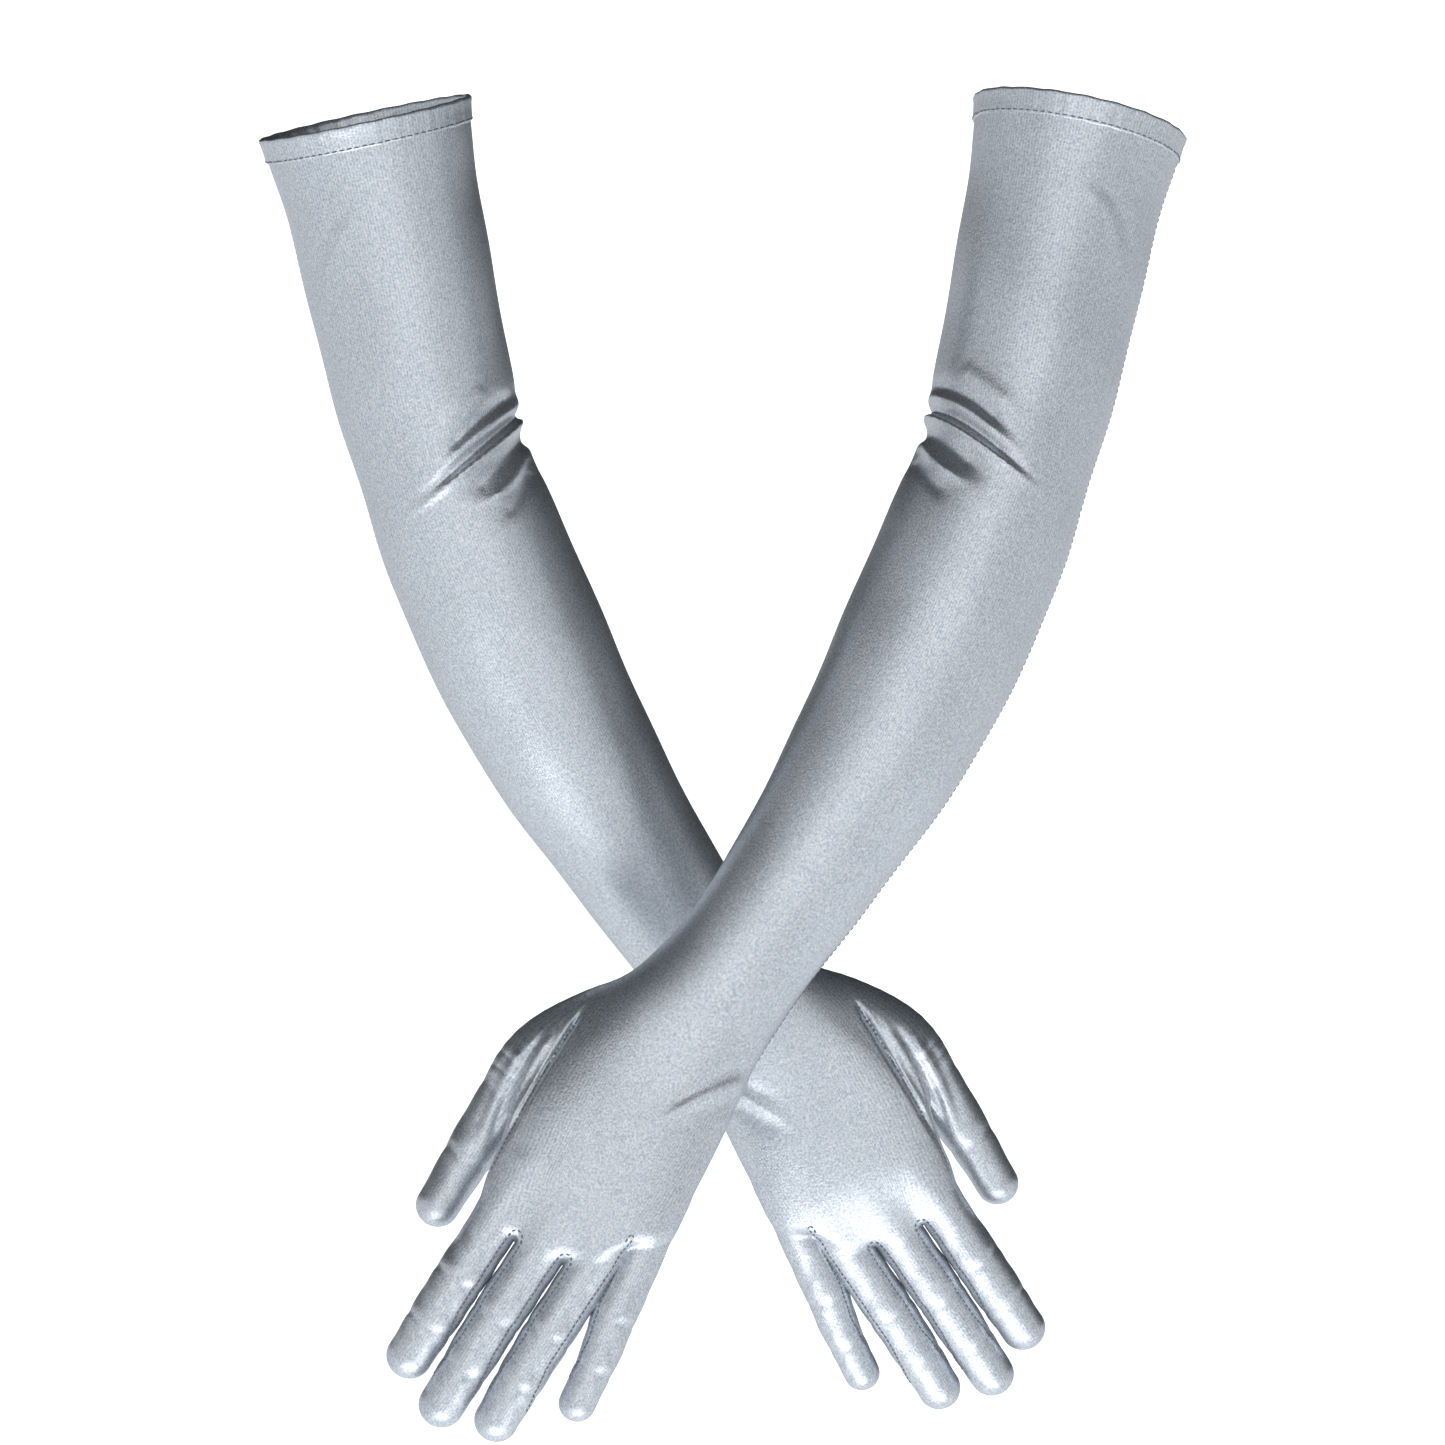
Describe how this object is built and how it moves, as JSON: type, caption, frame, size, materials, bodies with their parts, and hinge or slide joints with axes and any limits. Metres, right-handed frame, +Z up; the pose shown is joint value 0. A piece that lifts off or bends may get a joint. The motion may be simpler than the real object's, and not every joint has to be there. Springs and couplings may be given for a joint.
{
  "type": "opera gloves",
  "caption": "Pair of above-elbow stretch-satin opera gloves in their worn, crossed shape, hollow and open at the cuffs, with bending elbows, wrists and fingers.",
  "frame": {"origin": "centre of the right glove's round cuff opening", "axes": "+Z up towards the upper arms, +X from the right cuff to the left cuff, -Y towards the viewer who sees the backs of the hands"},
  "size_m": [0.3514, 0.1462, 0.5063],
  "materials": {
    "satin": "satin",
    "thread": "matt"
  },
  "bodies": {
    "right_upper": {"right_cuff_hem": "satin", "right_hem_thread": "thread", "right_upper_sleeve": "satin", "right_upper_seam": "thread"},
    "right_forearm": {"right_forearm_sleeve": "satin", "right_forearm_seam": "thread"},
    "right_hand": {"right_hand_panel": "satin", "right_thumb_gusset": "satin"},
    "right_thumb_finger": {"right_thumb": "satin"},
    "right_index_finger": {"right_index": "satin", "right_index_fourchette": "satin"},
    "right_middle_finger": {"right_middle": "satin", "right_middle_fourchette_a": "satin", "right_middle_fourchette_b": "satin"},
    "right_ring_finger": {"right_ring": "satin", "right_ring_fourchette_a": "satin", "right_ring_fourchette_b": "satin"},
    "right_little_finger": {"right_little": "satin", "right_little_fourchette": "satin"},
    "left_upper": {"left_cuff_hem": "satin", "left_hem_thread": "thread", "left_upper_sleeve": "satin", "left_upper_seam": "thread"},
    "left_forearm": {"left_forearm_sleeve": "satin", "left_forearm_seam": "thread"},
    "left_hand": {"left_hand_panel": "satin", "left_thumb_gusset": "satin"},
    "left_thumb_finger": {"left_thumb": "satin"},
    "left_index_finger": {"left_index": "satin", "left_index_fourchette": "satin"},
    "left_middle_finger": {"left_middle": "satin", "left_middle_fourchette_a": "satin", "left_middle_fourchette_b": "satin"},
    "left_ring_finger": {"left_ring": "satin", "left_ring_fourchette_a": "satin", "left_ring_fourchette_b": "satin"},
    "left_little_finger": {"left_little": "satin", "left_little_fourchette": "satin"}
  },
  "joints": [
    {"name": "right_elbow", "type": "hinge", "parent": "right_upper", "child": "right_forearm", "pos_m": [0.02724, 0.01695, -0.12701], "axis": [0, -0.9912, -0.1323], "range_deg": [-14, 3]},
    {"name": "right_wrist", "type": "hinge", "parent": "right_forearm", "child": "right_hand", "pos_m": [0.14868, 0.04592, -0.34418], "axis": [0.866, -0.0661, 0.4956], "range_deg": [-16, 16]},
    {"name": "right_thumb_bend", "type": "hinge", "parent": "right_hand", "child": "right_thumb_finger", "pos_m": [0.20422, 0.0548, -0.35025], "axis": [0.8387, -0.072, 0.5399], "range_deg": [-8, 24]},
    {"name": "right_index_bend", "type": "hinge", "parent": "right_hand", "child": "right_index_finger", "pos_m": [0.22696, 0.057, -0.42723], "axis": [0.8387, -0.072, 0.5399], "range_deg": [-10, 70]},
    {"name": "right_middle_bend", "type": "hinge", "parent": "right_hand", "child": "right_middle_finger", "pos_m": [0.20867, 0.05787, -0.43369], "axis": [0.8415, -0.0714, 0.5355], "range_deg": [-10, 70]},
    {"name": "right_ring_bend", "type": "hinge", "parent": "right_hand", "child": "right_ring_finger", "pos_m": [0.18744, 0.05798, -0.43451], "axis": [0.8526, -0.0691, 0.5179], "range_deg": [-10, 70]},
    {"name": "right_little_bend", "type": "hinge", "parent": "right_hand", "child": "right_little_finger", "pos_m": [0.16661, 0.05749, -0.43086], "axis": [0.9135, -0.0538, 0.4032], "range_deg": [-10, 70]},
    {"name": "gloves_apart", "type": "slide", "parent": "right_upper", "child": "left_upper", "axis": [0, -1, 0], "range_m": [0, 0.15]},
    {"name": "left_elbow", "type": "hinge", "parent": "left_upper", "child": "left_forearm", "pos_m": [0.24476, -0.01695, -0.12701], "axis": [0, 0.9912, -0.1323], "range_deg": [-14, 3]},
    {"name": "left_wrist", "type": "hinge", "parent": "left_forearm", "child": "left_hand", "pos_m": [0.12332, -0.04592, -0.34418], "axis": [0.866, -0.0661, -0.4956], "range_deg": [-16, 16]},
    {"name": "left_thumb_bend", "type": "hinge", "parent": "left_hand", "child": "left_thumb_finger", "pos_m": [0.06778, -0.03895, -0.35237], "axis": [0.8387, -0.072, -0.5399], "range_deg": [-8, 24]},
    {"name": "left_index_bend", "type": "hinge", "parent": "left_hand", "child": "left_index_finger", "pos_m": [0.04504, -0.057, -0.42723], "axis": [0.8387, -0.072, -0.5399], "range_deg": [-10, 70]},
    {"name": "left_middle_bend", "type": "hinge", "parent": "left_hand", "child": "left_middle_finger", "pos_m": [0.06333, -0.05787, -0.43369], "axis": [0.8415, -0.0714, -0.5355], "range_deg": [-10, 70]},
    {"name": "left_ring_bend", "type": "hinge", "parent": "left_hand", "child": "left_ring_finger", "pos_m": [0.08456, -0.05798, -0.43451], "axis": [0.8526, -0.0691, -0.5179], "range_deg": [-10, 70]},
    {"name": "left_little_bend", "type": "hinge", "parent": "left_hand", "child": "left_little_finger", "pos_m": [0.10539, -0.05749, -0.43086], "axis": [0.9135, -0.0538, -0.4032], "range_deg": [-10, 70]}
  ]
}
